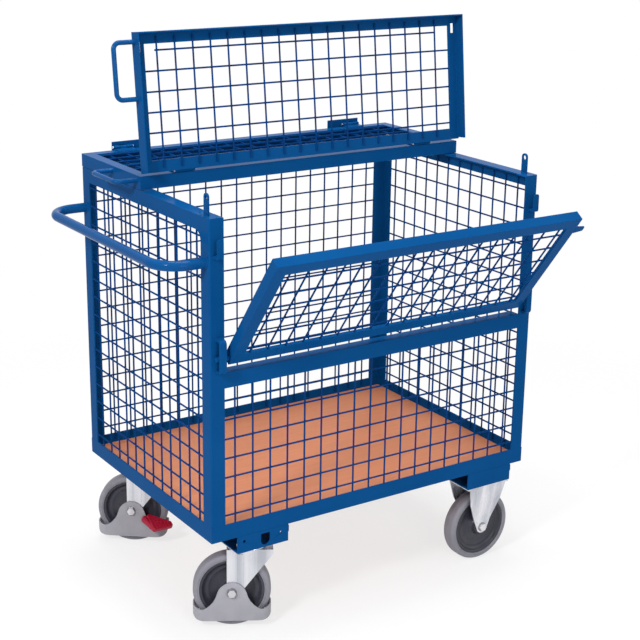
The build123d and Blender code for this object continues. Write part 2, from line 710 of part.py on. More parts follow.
def core():
    """Wheel core: rim, web and hub, bored for the axle tube."""
    out = WHEEL_R - TYRE_T
    rim = Rot(90, 0, 0) * (Cylinder(out, CORE_W) - Cylinder(out - 8, CORE_W + 2))
    web = Rot(90, 0, 0) * Cylinder(out - 6, CORE_W / 3)
    hub = Rot(90, 0, 0) * Cylinder(HUB_R, HUB_W)
    return rim + web + hub - Rot(90, 0, 0) * Cylinder(TUBE_R + AXLE_FIT, HUB_W + 2)


def axle(width):
    """Axle bolt, nut and tube for a fork with the given width over its outer faces."""
    half = width / 2
    bolt = rod_y(0, -half, half + AXLE_HEX_T + 2, 0, AXLE_R)
    bolt += Pos(0, -half, 0) * extrude(Plane.XZ * RegularPolygon(AXLE_HEX_R, 6), AXLE_HEX_T)
    nut = Pos(0, half + AXLE_HEX_T, 0) * extrude(Plane.XZ * RegularPolygon(AXLE_HEX_R, 6), AXLE_HEX_T)
    nut -= rod_y(0, half - 1, half + AXLE_HEX_T + 1, 0, AXLE_R + RUN_FIT)
    pipe = rod_y(0, -FORK_IN, FORK_IN, 0, TUBE_R)
    pipe -= rod_y(0, -FORK_IN - 1, FORK_IN + 1, 0, AXLE_R + RUN_FIT)
    return [bolt, nut, pipe]


def fork(outline, lean, rib, crown):
    """Two ribbed legs joined by a crown plate.

    The legs have the given outline from the side, and lean out by the given amount from LEG_BEND above
    the axle up to their top. The rib is a rectangle (x0, x1, z0, z1) raised on the outside.
    """
    top = max(z for x, z in outline)
    low = min(z for x, z in outline)
    x0, x1, z0, z1 = rib
    whole = crown
    for side in (-1, 1):
        for rise, shape in ((0, outline), (RIB_T, [(x0, z0), (x1, z0), (x1, z1), (x0, z1)])):
            y = FORK_IN + rise
            sheet = [(y, low), (y + FORK_T, low), (y + FORK_T, LEG_BEND), (y + FORK_T + lean, top),
                     (y + lean, top), (y, LEG_BEND)]
            bent = prism_x(-PLATE_L, PLATE_L, [(side * u, v) for u, v in sheet])
            whole += bent & prism_y(0, side * PLATE_W, shape)
    return whole - rod_y(0, -PLATE_W, PLATE_W, 0, AXLE_R + RUN_FIT)


def leg_end(r, a0, a1):
    """Points round the lower end of a fork leg."""
    turns = [Vector(r, 0, 0).rotate(Axis.Z, a) for a in range(a0, a1, 15)]
    return [(turn.X, turn.Y) for turn in turns]


def swivel_fork():
    """Fork of a swivel castor; the kingpin stands TRAIL ahead of the axle."""
    lead = 2 * TRAIL + 9
    back = -13
    outline = leg_end(20, 200, 346) + [(36, 15), (lead, CROWN_UP - 12), (lead, CROWN_UP)]
    outline += [(back, CROWN_UP), (back, 10)]
    crown = block(back, lead, -FORK_OUT, FORK_OUT, CROWN_UP - CROWN_T, CROWN_UP)
    rib_x = back + RIB_W
    rib = (rib_x, rib_x + RIB_W / 2, GUARD_HUMP + SIDE_PLAY, CROWN_UP - RIB_END)
    whole = fork(outline, 0, rib, crown)
    return whole - rod_z(TRAIL, 0, CROWN_UP - CROWN_T - 1, CROWN_UP + 1, KING_R + RUN_FIT)


def swivel_head():
    """Top plate with the ball-race housing, and the kingpin, about the swivel line."""
    top = CARRIER_Z
    plate = block(-PLATE_L / 2, PLATE_L / 2, -PLATE_W / 2, PLATE_W / 2, top - PLATE_T, top)
    plate -= bolt_holes(0, 0, top - PLATE_T - 1, top + 1)
    plate += rod_z(0, 0, CROWN_Z + SIDE_PLAY, top - PLATE_T, RACE_R)
    plate -= rod_z(0, 0, CROWN_Z - 1, top - PLATE_T - 1, KING_R + RUN_FIT)
    low = CROWN_Z - CROWN_T - SIDE_PLAY
    king = rod_z(0, 0, low, top - PLATE_T - 1, KING_R) + hex_z(0, 0, low - KING_NUT_T, low, KING_NUT_R)
    return [plate, king]


def fixed_fork():
    """Pressed fork of a fixed castor, its legs leaning out to the edges of the top plate."""
    top = CARRIER_Z - AXLE_Z
    end = PLATE_L / 2 - FIXED_FORK_IN
    outline = leg_end(18, 190, 351) + [(end - 11, top - 57), (end, top), (-end, top), (11 - end, top - 57)]
    crown = block(-PLATE_L / 2, PLATE_L / 2, -PLATE_W / 2, PLATE_W / 2, top - PLATE_T, top)
    crown -= bolt_holes(0, 0, top - PLATE_T - 1, top + 1)
    rib = (-RIB_W / 2, RIB_W / 2, LEG_BEND + RIB_END, top - 3 * RIB_END)
    return fork(outline, PLATE_W / 2 - FORK_OUT, rib, crown)


def foot_guard():
    """Plastic skirt round the lower wheel with a hump up to the axle on each side."""
    low = GUARD_Z0 - AXLE_Z
    end = GUARD_L / 2
    dip = low + GUARD_DIP_H
    half = [(0, GUARD_HUMP), (9, GUARD_HUMP - 1), (18, GUARD_HUMP - 5), (26, 17), (33, 9), (37, 0), (41, -13)]
    half += [(47, -25), (56, -36), (66, -44), (75, dip), (83, dip + 1), (90, dip + 4)]
    half += [(95, low + GUARD_END_H - 1), (end, low + GUARD_END_H)]
    half += [(end, low + 16), (end - 3, low + 9), (end - 10, low + 4), (end - 22, low + 1), (end - 36, low)]
    outline = [(-x, z) for x, z in reversed(half[1:])] + half
    out = FORK_OUT + GUARD_T
    skirt = prism_y(-out - 1, out + 1, outline)
    ring = RectangleRounded(GUARD_L, 2 * out, GUARD_CORNER)
    ring -= RectangleRounded(GUARD_L - 2 * GUARD_T, 2 * FORK_OUT, GUARD_CORNER - GUARD_T)
    wall = Pos(0, 0, low - 1) * extrude(ring, GUARD_HUMP - low + 2)
    return (skirt & wall) - rod_y(0, -out - 2, out + 2, 0, AXLE_R + RUN_FIT)


PEDAL_FACE = -FORK_OUT - GUARD_T


def pedal_pivot():
    """Shouldered pin on the guard's outer face that carries the pedal."""
    x, z = PEDAL_AT
    end = PEDAL_FACE - PEDAL_ARM_T - 2 * SIDE_PLAY
    pin = rod_y(x, end, PEDAL_FACE, z, PEDAL_PIN_R)
    return pin + rod_y(x, end - 2, end, z, PEDAL_PIN_R + 2)


def brake_pedal():
    """Red pedal: a bored arm on the pivot with a turned, sloping pad, cut flat beside the guard."""
    x, z = PEDAL_AT
    y1 = PEDAL_FACE - SIDE_PLAY
    y0 = y1 - PEDAL_ARM_T
    arm = rod_y(x, y0, y1, z, PEDAL_ARM_R)
    ends = [(PEDAL_PAD_AT, PEDAL_PAD_Z), (PEDAL_PAD_AT - 18, PEDAL_PAD_Z - 4)]
    arm += prism_y(y0, y1, [(x - 4, z - PEDAL_ARM_R + 1), (x + 4, z + PEDAL_ARM_R - 1)] + ends)
    pad = Box(PEDAL_PAD_L, PEDAL_PAD_W, PEDAL_PAD_T)
    pad = fillet(pad.edges().filter_by(Axis.Z), 8)
    pad = chamfer(pad.faces().sort_by(Axis.Z)[-1].edges(), 2.5)
    spot = Pos(PEDAL_PAD_AT, y1 - PEDAL_PAD_OUT, PEDAL_PAD_Z)
    pad = spot * Rot(0, 0, PEDAL_TURN) * Rot(PEDAL_TILT, 0, 0) * pad
    pad -= block(PEDAL_PAD_AT - 90, PEDAL_PAD_AT + 90, y1, y1 + 90, PEDAL_PAD_Z - 90, PEDAL_PAD_Z + 90)
    pad -= rod_y(x, y0 - PEDAL_PAD_W, y0, z, PEDAL_PIN_R + PEDAL_HEAD_FIT)
    return arm + pad - rod_y(x, y0 - 1, y1 + 1, z, PEDAL_PIN_R + RUN_FIT)


def on_swivel(side):
    """Place of a swivel castor's axle frame."""
    return Pos(LEFT_X, side * SWIVEL_Y, AXLE_Z) * Rot(0, 0, SWIVEL_TURN[side]) * Pos(-TRAIL, 0, 0)


def on_fixed(side):
    """Place of a fixed castor's axle frame."""
    return Pos(RIGHT_X, side * FIXED_Y, AXLE_Z)


nodes["swivel_heads"] = [Pos(x, y, 0) * piece for x, y in castors[:2] for piece in swivel_head()]
for side, end in ((-1, "front"), (1, "rear")):
    swivel = on_swivel(side)
    nodes["swivel_fork_" + end] = [swivel * swivel_fork()]
    nodes["foot_guard_" + end] = [swivel * foot_guard()]
    nodes["swivel_axle_" + end] = [swivel * piece for piece in axle(2 * (FORK_OUT + GUARD_T))]
    nodes["swivel_tyre_" + end] = [swivel * tyre()]
    nodes["swivel_core_" + end] = [swivel * core()]
    nodes["fixed_fork_" + end] = [on_fixed(side) * fixed_fork()]
    nodes["fixed_tyre_" + end] = [on_fixed(side) * tyre()]
    nodes["fixed_core_" + end] = [on_fixed(side) * core()]
nodes["fixed_axles"] = [on_fixed(side) * piece for side in (-1, 1) for piece in axle(2 * FORK_OUT)]
nodes["pedal_pivot"] = [on_swivel(1) * pedal_pivot()]
nodes["brake_pedal"] = [on_swivel(1) * brake_pedal()]

# Export, with the origin at the middle of the outer box's underside
solids = {name: [solid for piece in pieces for solid in piece.solids()] for name, pieces in nodes.items()}
extent = Compound([solid for group in solids.values() for solid in group]).bounding_box()
origin = Pos(-extent.center().X, -extent.center().Y, -extent.min.Z)
os.makedirs("parts", exist_ok=True)
for name, group in solids.items():
    export_step(Compound([origin * solid for solid in group]), "parts/" + name + ".step")
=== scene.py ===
"""Looks of the mesh box trolley: materials, round wires, welds and castor detail over the CAD frame.

Blender works in metres. Places on the trolley are written in millimetres from the middle of the box, as in
the CAD source.
"""
import json
import math
from collections import Counter

import bmesh
import bpy
import numpy as np
from mathutils import Matrix, Vector


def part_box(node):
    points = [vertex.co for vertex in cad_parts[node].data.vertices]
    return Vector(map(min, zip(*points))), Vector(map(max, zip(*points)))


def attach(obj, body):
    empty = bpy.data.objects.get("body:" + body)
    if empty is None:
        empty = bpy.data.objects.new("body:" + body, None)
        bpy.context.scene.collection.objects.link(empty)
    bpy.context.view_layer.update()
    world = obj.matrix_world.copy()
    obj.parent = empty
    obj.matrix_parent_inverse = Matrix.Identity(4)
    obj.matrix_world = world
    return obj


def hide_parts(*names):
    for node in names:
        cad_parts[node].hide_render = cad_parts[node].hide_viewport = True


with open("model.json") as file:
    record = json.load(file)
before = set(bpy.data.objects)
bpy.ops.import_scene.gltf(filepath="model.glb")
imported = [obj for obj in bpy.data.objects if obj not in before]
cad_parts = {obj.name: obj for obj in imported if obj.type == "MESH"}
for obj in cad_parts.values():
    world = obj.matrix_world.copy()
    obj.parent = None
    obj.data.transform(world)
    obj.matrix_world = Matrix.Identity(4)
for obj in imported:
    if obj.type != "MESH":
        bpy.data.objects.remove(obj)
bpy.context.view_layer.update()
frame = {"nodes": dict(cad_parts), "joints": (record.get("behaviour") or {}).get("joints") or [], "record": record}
nodes = frame["nodes"]
joints = {joint["name"]: joint for joint in frame["joints"]}
bodies = frame["record"]["behaviour"]["bodies"]
body_of_node = {node: body for body, group in bodies.items() for node in group}
slot_of_node = {part["node"]: part["material_slot"] for part in frame["record"]["subparts"]}

MM = 0.001
rail_low, rail_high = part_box("base_rails")
MIDDLE = Vector(((rail_low.x + rail_high.x) / 2, (rail_low.y + rail_high.y) / 2, 0))
HALF_LENGTH = (rail_high.x - rail_low.x) / 2 / MM
HALF_DEPTH = (rail_high.y - rail_low.y) / 2 / MM


def at(x, y, z):
    """Place in metres of a point given in millimetres from the middle of the box."""
    return MIDDLE + Vector((x, y, z)) * MM


def reach(node):
    """Lowest and highest corners of a CAD node, in millimetres from the middle of the box."""
    low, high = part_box(node)
    return (low - MIDDLE) / MM, (high - MIDDLE) / MM


# Materials
# Sockets of a Mix node that mixes colours
MIX_FACTOR, MIX_A, MIX_B, MIX_RESULT = 0, 6, 7, 2


def rgba(value):
    """A colour with alpha, from a colour or a grey level."""
    return (*value, 1.0) if isinstance(value, tuple) else (value, value, value, 1.0)


class Graph:
    """A material's nodes, with short calls for the ones used here."""

    def __init__(self, name):
        self.material = bpy.data.materials.new(name)
        self.material.use_nodes = True
        self.tree = self.material.node_tree
        self.shader = self.tree.nodes["Principled BSDF"]
        self.place = self.add("ShaderNodeTexCoord").outputs["Object"]

    def add(self, kind):
        return self.tree.nodes.new(kind)

    def link(self, source, target):
        self.tree.links.new(source, target)

    def stretched(self, scale):
        """The object's own coordinates, scaled along each axis."""
        node = self.add("ShaderNodeMapping")
        node.inputs["Scale"].default_value = scale
        self.link(self.place, node.inputs["Vector"])
        return node.outputs["Vector"]

    def noise(self, scale, detail, rough=0.5, vector=None):
        node = self.add("ShaderNodeTexNoise")
        node.inputs["Scale"].default_value = scale
        node.inputs["Detail"].default_value = detail
        node.inputs["Roughness"].default_value = rough
        self.link(vector or self.place, node.inputs["Vector"])
        return node.outputs["Fac"]

    def ramp(self, factor, stops):
        """Colours or grey levels at some stops, blended between them."""
        node = self.add("ShaderNodeValToRGB")
        elements = node.color_ramp.elements
        while len(elements) < len(stops):
            elements.new(0.5)
        for element, (position, value) in zip(elements, stops):
            element.position = position
            element.color = rgba(value)
        self.link(factor, node.inputs["Fac"])
        return node.outputs["Color"]

    def mix(self, factor, a, b):
        """Mixes two outputs, or an output and a colour."""
        node = self.add("ShaderNodeMix")
        node.data_type = "RGBA"
        for index, value in ((MIX_FACTOR, factor), (MIX_A, a), (MIX_B, b)):
            if isinstance(value, bpy.types.NodeSocket):
                self.link(value, node.inputs[index])
            else:
                node.inputs[index].default_value = rgba(value) if isinstance(value, tuple) else value
        return node.outputs[MIX_RESULT]

    def colour(self, socket):
        self.link(socket, self.shader.inputs["Base Color"])

    def roughness(self, factor, low, high):
        self.link(self.ramp(factor, [(0.3, low), (0.7, high)]), self.shader.inputs["Roughness"])

    def bump(self, height, depth, strength):
        node = self.add("ShaderNodeBump")
        node.inputs["Distance"].default_value = depth
        node.inputs["Strength"].default_value = strength
        self.link(height, node.inputs["Height"])
        self.link(node.outputs["Normal"], self.shader.inputs["Normal"])

    def fixed(self, name, value):
        self.shader.inputs[name].default_value = value


def powder_coat(name, dark, light, gloss, rough):
    """Satin gentian-blue powder coat with a fine orange peel and a little handling dust."""
    graph = Graph(name)
    base = graph.ramp(graph.noise(5.0, detail=4.0), [(0.3, dark), (0.7, light)])
    dust = graph.ramp(graph.noise(38.0, detail=6.0, rough=0.62), [(0.58, 0.0), (0.85, 0.05)])
    graph.colour(graph.mix(dust, base, (0.03, 0.11, 0.26)))
    graph.roughness(graph.noise(24.0, detail=4.0), rough, rough + 0.07)
    graph.bump(graph.noise(520.0, detail=2.0), depth=0.06 * MM, strength=0.3)
    graph.fixed("Specular IOR Level", gloss)
    return graph.material


def zinc(name, dark, middle, light):
    """Bright zinc plate: broad upright bands of painted reflection, faint drawing lines and a little cloudiness.
    """
    graph = Graph(name)
    # Painted reflection: broad upright light and dark bands stand in for surroundings mirrored in the metal.
    painted_reflection_bands = graph.noise(4.0, detail=1.0, rough=0.3, vector=graph.stretched((9.0, 9.0, 0.25)))
    lines = graph.noise(60.0, detail=2.0, rough=0.4, vector=graph.stretched((5.0, 5.0, 0.08)))
    cloud = graph.noise(30.0, detail=2.0, rough=0.4)
    tone = graph.mix(0.05, graph.mix(0.16, painted_reflection_bands, lines), cloud)
    graph.colour(graph.ramp(tone, [(0.32, dark), (0.50, middle), (0.68, light)]))
    graph.roughness(painted_reflection_bands, 0.20, 0.32)
    graph.bump(lines, depth=0.03 * MM, strength=0.3)
    graph.fixed("Metallic", 0.8)
    return graph.material


def rubber():
    """Grey tread rubber with fine pores and lighter, slightly polished patches."""
    graph = Graph("tyre_rubber")
    patch = graph.noise(16.0, detail=5.0, rough=0.6)
    graph.colour(graph.ramp(patch, [(0.30, (0.168, 0.166, 0.196)), (0.70, (0.228, 0.224, 0.260))]))
    graph.roughness(patch, 0.50, 0.68)
    graph.bump(graph.noise(900.0, detail=3.0), depth=0.10 * MM, strength=0.6)
    return graph.material


def moulded(name, dark, light, low, high, grain):
    """Moulded plastic with a fine spark-eroded grain and a roughness between low and high."""
    graph = Graph(name)
    flow = graph.noise(14.0, detail=4.0, rough=0.55)
    graph.colour(graph.ramp(flow, [(0.30, dark), (0.70, light)]))
    graph.roughness(graph.noise(30.0, detail=4.0), low, high)
    graph.bump(graph.noise(grain, detail=2.0), depth=0.08 * MM, strength=0.5)
    graph.fixed("Specular IOR Level", 0.3)
    return graph.material


def beech():
    """Beech-decor board: long grain along the length with short darker flecks."""
    graph = Graph("beech_decor")
    grain = graph.noise(9.0, detail=8.0, rough=0.62, vector=graph.stretched((1.0, 16.0, 16.0)))
    flecks = graph.noise(26.0, detail=3.0, vector=graph.stretched((3.0, 40.0, 40.0)))
    shades = [(0.28, (0.49, 0.167, 0.078)), (0.50, (0.55, 0.198, 0.095)), (0.74, (0.60, 0.226, 0.112))]
    pores = graph.ramp(flecks, [(0.60, 0.0), (0.72, 0.32)])
    graph.colour(graph.mix(pores, graph.ramp(grain, shades), (0.41, 0.130, 0.060)))
    graph.roughness(grain, 0.42, 0.55)
    graph.bump(flecks, depth=0.10 * MM, strength=0.4)
    graph.fixed("Specular IOR Level", 0.25)
    return graph.material


BLUE = ((0.0022, 0.058, 0.196), (0.0032, 0.066, 0.216))
# The wire blue is a darker copy of the frame blue: painted shade for wires that stand in shade.
WIRE_BLUE_SHADED = ((0.0022, 0.034, 0.142), (0.0032, 0.040, 0.160))
CORE_GREY = ((0.027, 0.028, 0.040), (0.044, 0.044, 0.060))
GUARD_GREY = ((0.285, 0.283, 0.315), (0.345, 0.342, 0.382))
PEDAL_RED = ((0.31, 0.0022, 0.024), (0.39, 0.003, 0.032))
materials = {
    "blue_steel": powder_coat("powder_coat_blue", *BLUE, gloss=0.012, rough=0.10),
    # The wire coat is the frame coat darkened as painted shade.
    "blue_wire_shaded": powder_coat("powder_coat_wire_shaded", *WIRE_BLUE_SHADED, gloss=0.003, rough=0.10),
    "blue_tube": powder_coat("powder_coat_tube", *BLUE, gloss=0.055, rough=0.12),
    "zinc_steel": zinc("zinc_plate", (0.44, 0.455, 0.50), (0.63, 0.635, 0.685), (0.78, 0.775, 0.81)),
    "zinc_bright": zinc("zinc_fastener", (0.50, 0.50, 0.53), (0.64, 0.64, 0.67), (0.76, 0.76, 0.79)),
    # The washer zinc is a darker copy of the zinc plate: painted shade that rings the bolt heads.
    "zinc_shaded": zinc("zinc_washer_shaded", (0.16, 0.16, 0.18), (0.23, 0.23, 0.25), (0.30, 0.30, 0.32)),
    "board": beech(),
    "tyre_grey": rubber(),
    "core_dark": moulded("core_plastic", *CORE_GREY, low=0.24, high=0.36, grain=700.0),
    "guard_grey": moulded("guard_plastic", *GUARD_GREY, low=0.42, high=0.56, grain=800.0),
    "pedal_red": moulded("pedal_plastic", *PEDAL_RED, low=0.26, high=0.40, grain=700.0),
}


# Looks of the CAD nodes
FASTENERS = ("castor_bolts", "castor_nuts", "fixed_axles", "swivel_axle", "handle_screws")
DOUBLES = 0.002 * MM
EDGE_W = 0.8 * MM
EDGE_ANGLE = math.radians(50)
CORNER_ANGLE = math.radians(42)
SMOOTH_ANGLE = math.radians(40)


def soften(piece):
    """Gives a piece slightly rounded edges."""
    weld = piece.modifiers.new("join", "WELD")
    weld.merge_threshold = DOUBLES
    bevel = piece.modifiers.new("edges", "BEVEL")
    bevel.width = EDGE_W
    bevel.segments = 2
    bevel.limit_method = "ANGLE"
    bevel.angle_limit = EDGE_ANGLE
    bevel.use_clamp_overlap = True
    split = piece.modifiers.new("corners", "EDGE_SPLIT")
    split.split_angle = CORNER_ANGLE
    piece.modifiers.new("normals", "WEIGHTED_NORMAL")


def dress(node):
    """Gives a CAD node its material and softened edges."""
    look = slot_of_node[node]
    if node.endswith("_handle"):
        look = "blue_tube"
    if node.startswith(FASTENERS):
        look = "zinc_bright"
    piece = nodes[node]
    piece.data.materials.clear()
    piece.data.materials.append(materials[look])
    soften(piece)


for node in nodes:
    dress(node)


# Mesh helpers
def make(name, verts, faces, body, slot, replaces=(), look=None):
    """A smooth mesh piece that rides on a body; its look is its slot's unless another is named."""
    mesh = bpy.data.meshes.new(name)
    mesh.from_pydata([tuple(v) for v in verts], [], faces)
    mesh.validate()
    mesh.shade_smooth()
    mesh.set_sharp_from_angle(angle=SMOOTH_ANGLE)
    mesh.materials.append(materials[look or slot])
    piece = bpy.data.objects.new(name, mesh)
    bpy.context.scene.collection.objects.link(piece)
    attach(piece, body)
    if replaces:
        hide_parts(*replaces)
    return piece


def circle(sides):
    """Cosine and sine of evenly spaced angles round a circle."""
    angles = [2 * math.pi * k / sides for k in range(sides)]
    return [(math.cos(angle), math.sin(angle)) for angle in angles]


def side_vectors(axis):
    """Two unit vectors square to an axis and to each other."""
    axis = Vector(axis).normalized()
    other = Vector((0, 0, 1)) if abs(axis.z) < 0.9 else Vector((1, 0, 0))
    u = axis.cross(other).normalized()
    return u, axis.cross(u).normalized()


def stitch(faces, first, rows, sides, closed):
    """Adds the faces between neighbouring rows of points; closed also joins the last row to the first."""
    for i in range(rows if closed else rows - 1):
        near, far = first + i * sides, first + (i + 1) % rows * sides
        for k in range(sides):
            n = (k + 1) % sides
            faces.append((near + k, near + n, far + n, far + k))


def rod(verts, faces, centres, radii, sides):
    """Adds a closed skin through circles about centres on a straight line."""
    u, v = side_vectors(centres[-1] - centres[0])
    first = len(verts)
    for centre, radius in zip(centres, radii):
        verts.extend(centre + (u * c + v * s) * radius for c, s in circle(sides))
    stitch(faces, first, len(centres), sides, closed=False)
    last = len(verts) - sides
    faces.append(tuple(reversed(range(first, first + sides))))
    faces.append(tuple(range(last, last + sides)))


def revolve(verts, faces, outline, centre, axis, steps):
    """Adds a closed outline of (radius, offset) in millimetres turned about an axis."""
    u, v = side_vectors(axis)
    axis = Vector(axis).normalized()
    first = len(verts)
    for c, s in circle(steps):
        out = u * c + v * s
        verts.extend(Vector(centre) + (out * r + axis * h) * MM for r, h in reversed(outline))
    stitch(faces, first, steps, len(outline), closed=True)


def merged(node):
    """Corner places of a CAD node without doubles, and its faces over them."""
    mesh = nodes[node].data
    places = {}
    index = [places.setdefault(tuple(round(c, 6) for c in v.co), len(places)) for v in mesh.vertices]
    return list(places), [tuple(index[v] for v in polygon.vertices) for polygon in mesh.polygons]


# Mitred frames
def joined(node):
    """A mitred frame as one closed skin, without the end faces that touch inside its corners."""
    places, faces = merged(node)
    uses = Counter(frozenset(face) for face in faces)
    skin = [face for face in faces if uses[frozenset(face)] == 1]
    soften(make(node + "_joined", places, skin, body_of_node[node], "blue_steel", [node]))


for node in ("base_rails", "rear_lid_frame", "flap_frame"):
    joined(node)


# Wire mesh, drawn a little thicker than the 4 mm wires of the CAD source
WIRE_R = 2.3 * MM
WIRE_TIP_R = 1.4 * MM
WIRE_TIP = 0.6 * MM
WIRE_RADII = (WIRE_TIP_R, WIRE_R, WIRE_R, WIRE_TIP_R)
WIRE_SIDES = 12
CROSSING_GAP = 2.2 * WIRE_R
CROSSING_COS = 0.1
SPOT_R = 3.1 * MM
SPOT_T = 1.4 * MM
SPOT_SIDES = 8
SPOT_LEVELS = ((-0.55, 0.84), (0.0, 1.0), (0.55, 0.84))


def solids_of(node):
    """Corner places of each separate solid in a CAD node."""
    places, faces = merged(node)
    root = list(range(len(places)))

    def find(i):
        while root[i] != i:
            root[i] = root[root[i]]
            i = root[i]
        return i

    for face in faces:
        for corner in face[1:]:
            root[find(corner)] = find(face[0])
    groups = {}
    for i, place in enumerate(places):
        groups.setdefault(find(i), []).append(place)
    return [np.array(group) for group in groups.values()]


def wire_line(places):
    """Middle, direction and half length of a straight wire, from its corner places."""
    centre = (places.max(0) + places.min(0)) / 2
    axis = np.linalg.svd(places - centre, full_matrices=False)[2][0]
    along = (places - centre) @ axis
    middle = centre + axis * (along.max() + along.min()) / 2
    return Vector(middle), Vector(axis), (along.max() - along.min()) / 2


def weld_spot(verts, faces, centre, a, b, c):
    """Adds a lens with the given half axes."""
    first = len(verts)
    verts.append(centre - c)
    for height, spread in SPOT_LEVELS:
        level = centre + c * height
        verts.extend(level + (a * p + b * q) * spread for p, q in circle(SPOT_SIDES))
    verts.append(centre + c)
    last = len(verts) - 1
    low, high = first + 1, last - SPOT_SIDES
    stitch(faces, low, len(SPOT_LEVELS), SPOT_SIDES, closed=False)
    for k in range(SPOT_SIDES):
        n = (k + 1) % SPOT_SIDES
        faces.append((first, low + n, low + k))
        faces.append((last, high + k, high + n))


def weld_crossing(verts, faces, wire, other):
    """Adds a weld spot between two wires if they cross."""
    middle, axis, half = wire
    other_middle, other_axis, other_half = other
    if abs(axis.dot(other_axis)) > CROSSING_COS:
        return
    step = other_middle - middle
    run, other_run = step.dot(axis), -step.dot(other_axis)
    near = middle + axis * run
    far = other_middle + other_axis * other_run
    if abs(run) > half or abs(other_run) > other_half or (far - near).length > CROSSING_GAP:
        return
    up = (far - near).normalized()
    weld_spot(verts, faces, (near + far) / 2, axis * SPOT_R, up.cross(axis) * SPOT_R, up * SPOT_T)


def round_wires(node):
    """Round wires with a weld spot at every crossing, in place of a CAD mesh panel."""
    wires = [wire_line(places) for places in solids_of(node)]
    verts, faces = [], []
    for middle, axis, half in wires:
        runs = (-half, WIRE_TIP - half, half - WIRE_TIP, half)
        rod(verts, faces, [middle + axis * run for run in runs], WIRE_RADII, WIRE_SIDES)
    for i, wire in enumerate(wires):
        for other in wires[i + 1:]:
            weld_crossing(verts, faces, wire, other)
    # The wires take the darker copy of the blue, which is painted shade.
    make(node + "_round", verts, faces, body_of_node[node], "blue_steel", [node], "blue_wire_shaded")


for node in nodes:
    if node.endswith("_mesh") or node.startswith("mesh_"):
        round_wires(node)


# Weld beads
BEAD_SIDES = 8
BEAD_STEP = 1.1 * MM
BEAD_TIP_SHARE = 0.45
RIPPLE_L = 4.2 * MM
RIPPLE_DEPTH = 0.16
RING_RIPPLE_DEPTH = 0.15
RING_RIPPLE_STEPS = 4
BEAD_R = 1.9 * MM
TAB_BEAD_R = 1.7 * MM
LEAF_BEAD_R = 1.6 * MM
THIN_BEAD_R = 1.5 * MM
PUSH_BEAD_R = 2.6 * MM
BAR_BEAD_R = 1.8 * MM


def rippled(radius, depth, turns):
    """A bead's radius after some turns of its ripple."""
    return radius * (1 - depth + depth * math.cos(2 * math.pi * turns))


class Beads:
    """Rippled weld beads of one body, gathered into one piece."""

    def __init__(self, name, body):
        self.name = name
        self.body = body
        self.verts = []
        self.faces = []

    def along(self, start, end, radius=BEAD_R):
        """Adds a straight bead with thin tips."""
        length = (end - start).length
        count = max(3, int(length / BEAD_STEP))
        shares = [i / count for i in range(count + 1)]
        radii = [rippled(radius, RIPPLE_DEPTH, share * length / RIPPLE_L) for share in shares]
        radii[0] *= BEAD_TIP_SHARE
        radii[-1] *= BEAD_TIP_SHARE
        rod(self.verts, self.faces, [start.lerp(end, share) for share in shares], radii, BEAD_SIDES)

    def around(self, centre, ring_radius, radius):
        """Adds a bead round the end of a bar that runs along x."""
        axis = Vector((1, 0, 0))
        u, v = side_vectors(axis)
        count = RING_RIPPLE_STEPS * round(2 * math.pi * ring_radius / RIPPLE_L)
        first = len(self.verts)
        for i, (c, s) in enumerate(circle(count)):
            out = u * c + v * s
            r = rippled(radius, RING_RIPPLE_DEPTH, i / RING_RIPPLE_STEPS)
            for p, q in circle(BEAD_SIDES):
                self.verts.append(centre + out * (ring_radius + r * p) - axis * r * q)
        stitch(self.faces, first, count, BEAD_SIDES, closed=True)

    def done(self):
        make(self.name, self.verts, self.faces, self.body, "blue_steel")


# Sizes of the welded pieces, as in the CAD source
STEEL = 4
KEEPER_W = 17
PLATE_SPAN = 106
TAB_T = 5
PUSH_IN = 18
PUSH_DROP = 107
PUSH_R = 12.5 * MM
BAR_R = 6 * MM
BAR_SPAN = 136
BAR_PLACES = {"rear_lid": (84, 11), "front_lid": (-253, 18)}
HINGE_X = 371

# Where the beads begin and end
KEEPER_CLIMB = 5
PLATE_CLIMB = 23
CARRIER_DROPS = (2, 20)
MID_RAIL_RISES = (4, 35)
LEAF_BEAD_HALF = 28
LEAF_BEAD_RISE = 0.6
FLAP_TAB_Y = -359
FLAP_TAB_EDGES = (1029, 1052)


def foot_beads(beads, ends, y, z, climb, side_radius):
    """Adds a bead along a foot's edge and one up or down from each of its ends."""
    corners = [at(x, y, z) for x in ends]
    beads.along(*corners)
    for corner in corners:
        beads.along(corner, corner + Vector((0, 0, climb)) * MM, side_radius)


def keeper_beads(beads, side):
    """Beads at both ends of a lower keeper and at the lower end of an upper keeper."""
    low, high = reach("flap_keepers_lower")
    ends = (side * (high.x - KEEPER_W), side * high.x)
    foot_beads(beads, ends, high.y, low.z, KEEPER_CLIMB, THIN_BEAD_R)
    foot_beads(beads, ends, high.y, high.z, -KEEPER_CLIMB, THIN_BEAD_R)
    low, high = reach("flap_keepers_upper")
    ends = (side * (high.x - KEEPER_W), side * high.x)
    foot_beads(beads, ends, high.y, low.z, KEEPER_CLIMB, THIN_BEAD_R)


def hinge_plate_beads(beads, side):
    """Beads under a rear hinge plate and up its sides."""
    low, high = reach("rear_hinge_plates")
    ends = (side * (high.x - PLATE_SPAN), side * high.x)
    foot_beads(beads, ends, low.y, low.z, PLATE_CLIMB, BEAD_R)


def carrier_beads(beads, side):
    """Short upright beads at the ends of the castor carriers, under the base rails."""
    for node in ("castor_carriers_left", "castor_carriers_right"):
        for corner in reach(node):
            ends = [at(corner.x, side * HALF_DEPTH, rail_low.z / MM - drop) for drop in CARRIER_DROPS]
            beads.along(*ends, THIN_BEAD_R)


